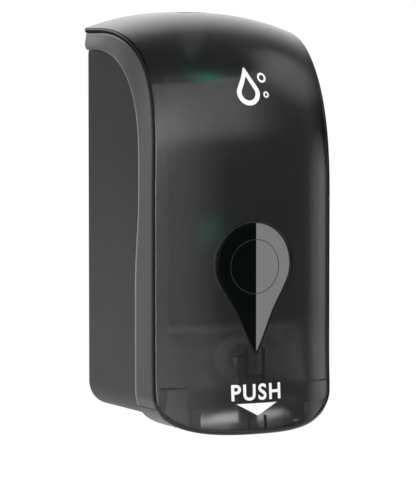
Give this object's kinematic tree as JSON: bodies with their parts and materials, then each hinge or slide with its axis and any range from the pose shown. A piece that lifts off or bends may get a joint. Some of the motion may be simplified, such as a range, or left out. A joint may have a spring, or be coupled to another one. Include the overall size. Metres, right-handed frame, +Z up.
{
  "type": "wall mounted soap dispenser",
  "caption": "Wall mounted soap dispenser with a smoked translucent push cover, a drop-shaped level window, an inner tank and a pump, lockable and hinged for filling.",
  "frame": {"origin": "centre of the wall screw pattern, on the housing's back face", "axes": "+X right, +Y into the wall, -Y towards the user, +Z up"},
  "size_m": [0.1168, 0.1143, 0.2464],
  "materials": {
    "housing_plastic": "fine satin, dark grey",
    "tank_plastic": "translucent, milky",
    "lid_plastic": "satin",
    "pump_plastic": "semi gloss",
    "dark_plastic": "satin",
    "chin_plastic": "gloss, dark grey",
    "smoked_plastic": "clear smoked, polished",
    "window_plastic": "clear smoked, polished",
    "rim_plastic": "gloss black",
    "lock_metal": "dark plated",
    "steel": "plain",
    "rubber": "matt",
    "silicone": "soft, translucent"
  },
  "bodies": {
    "housing": {"rear_housing": "housing_plastic", "tank": "tank_plastic", "tank_lid": "lid_plastic", "outlet_seal": "rubber", "pump_body": "pump_plastic", "pump_cap": "pump_plastic", "inlet_ball": "steel", "outlet_ball": "steel", "nozzle": "dark_plastic", "nozzle_tip": "silicone", "pivot_pin_left": "steel", "pivot_pin_right": "steel"},
    "push_frame": {"push_frame": "dark_plastic", "chin": "chin_plastic", "pusher_pad": "rubber", "bumper_left": "rubber", "bumper_right": "rubber", "hinge_pin_left": "steel", "hinge_pin_right": "steel"},
    "cover": {"front_cover": "smoked_plastic", "cover_hinge_left": "smoked_plastic", "cover_hinge_right": "smoked_plastic", "window_lens": "window_plastic", "window_bezel": "rim_plastic", "lock_case": "lock_metal", "lock_nut": "lock_metal"},
    "lock": {"lock_plug": "lock_metal", "lock_cam": "steel", "cam_screw": "steel"},
    "plunger": {"plunger": "pump_plastic", "piston_seal": "rubber", "return_spring": "steel"}
  },
  "joints": [
    {"name": "push_swing", "type": "hinge", "parent": "housing", "child": "push_frame", "pos_m": [0, -0.016, 0.086], "axis": [1, 0, 0], "range_deg": [0, 2.9], "stiffness_Nm_per_rad": 15, "springref_deg": -1.72},
    {"name": "plunger_slide", "type": "slide", "parent": "housing", "child": "plunger", "axis": [0, 1, 0], "range_m": [0, 0.0089], "deforming": ["return_spring"]},
    {"name": "cover_open", "type": "hinge", "parent": "push_frame", "child": "cover", "pos_m": [0, -0.09, -0.122], "axis": [1, 0, 0], "range_deg": [0, 95]},
    {"name": "lock_turn", "type": "hinge", "parent": "cover", "child": "lock", "pos_m": [0, -0.027, 0.092], "axis": [0, 0, -1], "range_deg": [0, 90]}
  ],
  "couplings": [
    {"joint": "plunger_slide", "follows": "push_swing", "m_per_rad": 0.174}
  ]
}
